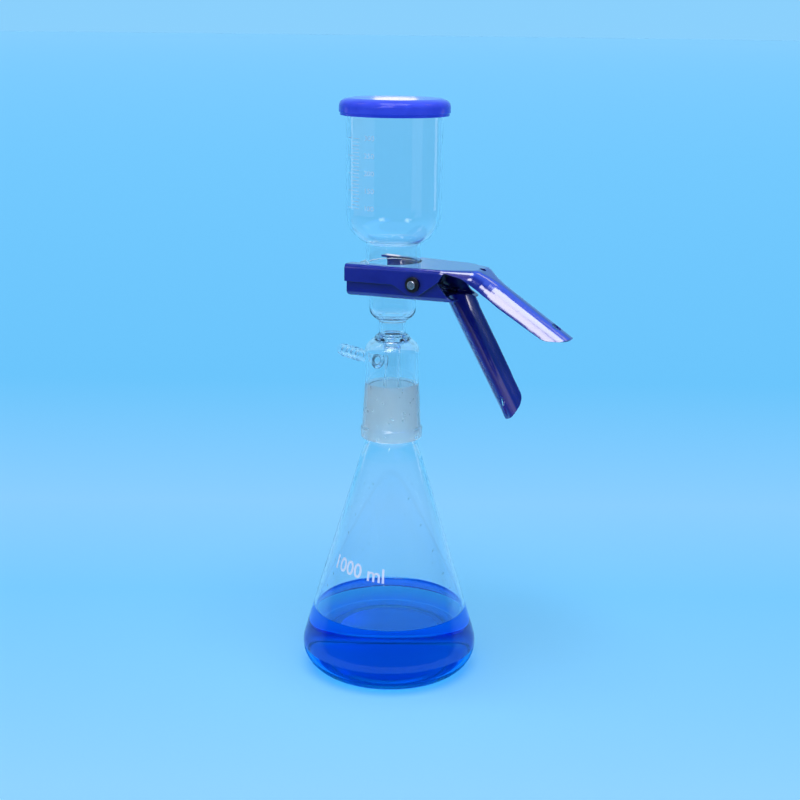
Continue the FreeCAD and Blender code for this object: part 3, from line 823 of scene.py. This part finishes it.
def floor_material():
    """Sky-blue floor whose tone follows the distance behind the object, and that keeps its shadow."""
    made, n = material("studio_floor")
    spot = n.place()
    behind = n.math("MAXIMUM", n.math("SUBTRACT", n.axis(spot, "Y"), FRONT_LINE), NEAREST)
    low, high = math.log10(NEAREST), math.log10(FLOOR_REACH)
    stops = [((math.log10(reach) - low) / (high - low), tone) for reach, tone in FLOOR_TONES]
    tone = n.ramp(n.span(n.math("LOGARITHM", behind, 10.0), low, high), stops, smooth=False)

    # away from the object, reflections and what is seen through glass get a dimmer floor
    path = n.add("ShaderNodeLightPath")
    mirrored = path.outputs["Is Glossy Ray"]
    bent = n.math("MAXIMUM", mirrored, path.outputs["Is Transmission Ray"])
    share = n.math("MULTIPLY", n.span(n.flat_length(spot), 0.35, 1.1), bent)
    centred = n.add("ShaderNodeVectorMath", {0: spot, 1: (0, 0.9, 0)}, operation="ADD").outputs[0]
    faint = n.span(mirrored, 0.0, 1.0, 0.4, 0.18)
    lost = n.math("SUBTRACT", sideways_dimming(n, centred, faint), 1.0)
    dim = n.math("ADD", n.math("MULTIPLY", lost, share), 1.0)

    glow_share = n.math("MULTIPLY", n.math("MULTIPLY", rays_that_see(n), GLOW), dim)
    glow = n.add("ShaderNodeEmission", {"Color": tone, "Strength": glow_share})
    shade = n.math("MULTIPLY", dim, 1.0 - GLOW)
    matte = n.add("ShaderNodeBsdfDiffuse", {"Color": n.mix(shade, (0, 0, 0, 1), tone)})
    both = n.add("ShaderNodeAddShader", {0: glow.outputs[0], 1: matte.outputs[0]})
    n.output(both.outputs[0])
    return made


mesh = bpy.data.meshes.new("studio_floor")
bm = bmesh.new()
bmesh.ops.create_circle(bm, cap_ends=True, radius=FLOOR_REACH, segments=96)
bm.to_mesh(mesh)
bm.free()
floor = link(mesh, "studio_floor")
mesh.materials.append(floor_material())


def reflected(obj, shine, inside=False):
    """Makes obj a white card with a clear back that only reflections see, or only rays inside glass."""
    made, n = material(obj.name)
    even = n.noise(1.6, 2, 0.5, n.place())
    white = n.mix(n.span(even, 0.3, 0.7), (0.93, 0.91, 1.0, 1), (1.0, 0.97, 1.0, 1))
    glow = n.add("ShaderNodeEmission", {"Color": white, "Strength": shine})
    hidden = n.add("ShaderNodeBsdfTransparent")
    back = n.add("ShaderNodeNewGeometry").outputs["Backfacing"]
    n.output(n.mix_shader(back, glow.outputs[0], hidden.outputs[0]))
    obj.data.materials.append(made)
    obj.visible_camera = obj.visible_diffuse = obj.visible_shadow = False
    obj.visible_glossy, obj.visible_transmission = not inside, inside


PANEL_CENTRE = Vector((0, 0, 0.3))


def panel(name, azimuth, low, high, half_width, distance, shine, lean=0.0, taper=0.0, inside=False):
    """Curved card round the object, which can lean sideways and get narrower towards its top.

    Angles are in degrees as seen from the object, azimuth 0 in front, and distance is in metres.
    """
    mesh = bpy.data.meshes.new(name)
    verts, faces = [], []
    columns, rows = 12, 8
    for i in range(columns + 1):
        for j in range(rows + 1):
            across = half_width * (1 - taper * j / rows) * (2 * i / columns - 1)
            turn = math.radians(azimuth + across + lean * (2 * j / rows - 1))
            rise = math.radians(low + (high - low) * j / rows)
            level = Vector((math.sin(turn), -math.cos(turn), 0)) * math.cos(rise)
            way = level + Vector((0, 0, math.sin(rise)))
            verts.append(PANEL_CENTRE + way * distance)
            if i and j:
                here = len(verts) - 1
                faces.append((here, here - 1, here - rows - 2, here - rows - 1))
    mesh.from_pydata(verts, [], faces)
    if mesh.polygons[0].normal.dot(mesh.polygons[0].center - PANEL_CENTRE) > 0:
        mesh.flip_normals()
    reflected(link(mesh, name), shine, inside)


def card(name, aim, offset, half, shine):
    """Small flat card that faces aim from an offset, both in millimetres. Shine 0 makes it black."""
    facing = (-Vector(offset)).to_track_quat("Z", "Y")
    mesh = bpy.data.meshes.new(name)
    corners = [(-half, -half, 0), (half, -half, 0), (half, half, 0), (-half, half, 0)]
    verts = [(facing @ Vector(corner) + Vector(aim) + Vector(offset)) * MM for corner in corners]
    mesh.from_pydata(verts, [], [(0, 1, 2, 3)])
    reflected(link(mesh, name), shine)


LEVER_BEND = (45.0, -46.5, 309.0)  # of the upper lever
LEVER_LIP = (64.5, -48.0, 299.0)

# panels: azimuth, elevation of foot and top, half width, distance, shine
# cards: aim, offset, half width, shine
panel("front_panel", -15, 19, 61, 17, 1.7, 8.0, lean=8, taper=0.35)
card("bend_flag", LEVER_BEND, (-3.0, -22.3, 26.8), 16, 0.0)
card("lip_card", LEVER_LIP, (-2.6, -50.8, 27.2), 10, 8.0)
panel("lid_window", 180.3, 8.5, 20, 1.5, 1.4, 1.9)
panel("right_wall", 89, 19, 42, 23, 1.5, 0.12)
panel("right_strip", 76, 19, 42, 2.5, 1.4, 0.8)
panel("right_thread", 87, 19, 42, 1.2, 1.4, 0.8)
panel("left_sheen", -75, 0, 20, 30, 0.3, 0.8)
panel("right_sheen", 53, 0, 20, 13, 0.3, 0.7)
panel("left_spark", -46, 36, 50, 9, 1.5, 4.0, inside=True)
panel("right_spark", 40, 36, 50, 9, 1.5, 4.0, inside=True)
panel("left_glint", -100, 42, 60, 7, 1.5, 4.0)
panel("right_glint", 100, 42, 60, 7, 1.5, 4.0)
panel("left_streak", -118, -5, 3, 5, 1.35, 1.4)
panel("right_streak", 115, -5, 3, 5, 1.35, 1.4)

sun_data = bpy.data.lights.new("soft_sun", "SUN")
sun_data.energy = SUN
sun_data.angle = math.radians(SUN_SPREAD)
sun = bpy.data.objects.new("soft_sun", sun_data)
bpy.context.scene.collection.objects.link(sun)
sun.location = SUN_PLACE
sun.rotation_euler = (-Vector(SUN_PLACE)).to_track_quat("-Z", "Y").to_euler()

# === camera ======================================================================
SENSOR, LENS = 36.0, 68.265  # millimetres
CAMERA_PLACE = (0.00612, -1.0855, 0.4781)
LOOK_DOWN, ROLL = 13.96, 0.7  # degrees
GLASS_BOUNCES, GLOSSY_BOUNCES, DIFFUSE_BOUNCES = 28, 8, 4  # a ray crosses many glass walls

cam_data = bpy.data.cameras.new("camera")
cam_data.sensor_width = SENSOR
cam_data.lens = LENS
cam_data.clip_start, cam_data.clip_end = 0.05, 200.0
camera = bpy.data.objects.new("camera", cam_data)
bpy.context.scene.collection.objects.link(camera)
pitch = Matrix.Rotation(math.radians(90 - LOOK_DOWN), 4, "X")
roll = Matrix.Rotation(math.radians(ROLL), 4, "Z")
camera.matrix_world = Matrix.Translation(CAMERA_PLACE) @ pitch @ roll

scene = bpy.context.scene
scene.camera = camera
scene.view_settings.view_transform = "Standard"
scene.cycles.max_bounces = GLASS_BOUNCES
scene.cycles.transmission_bounces = GLASS_BOUNCES
scene.cycles.transparent_max_bounces = GLASS_BOUNCES
scene.cycles.glossy_bounces = GLOSSY_BOUNCES
scene.cycles.diffuse_bounces = DIFFUSE_BOUNCES
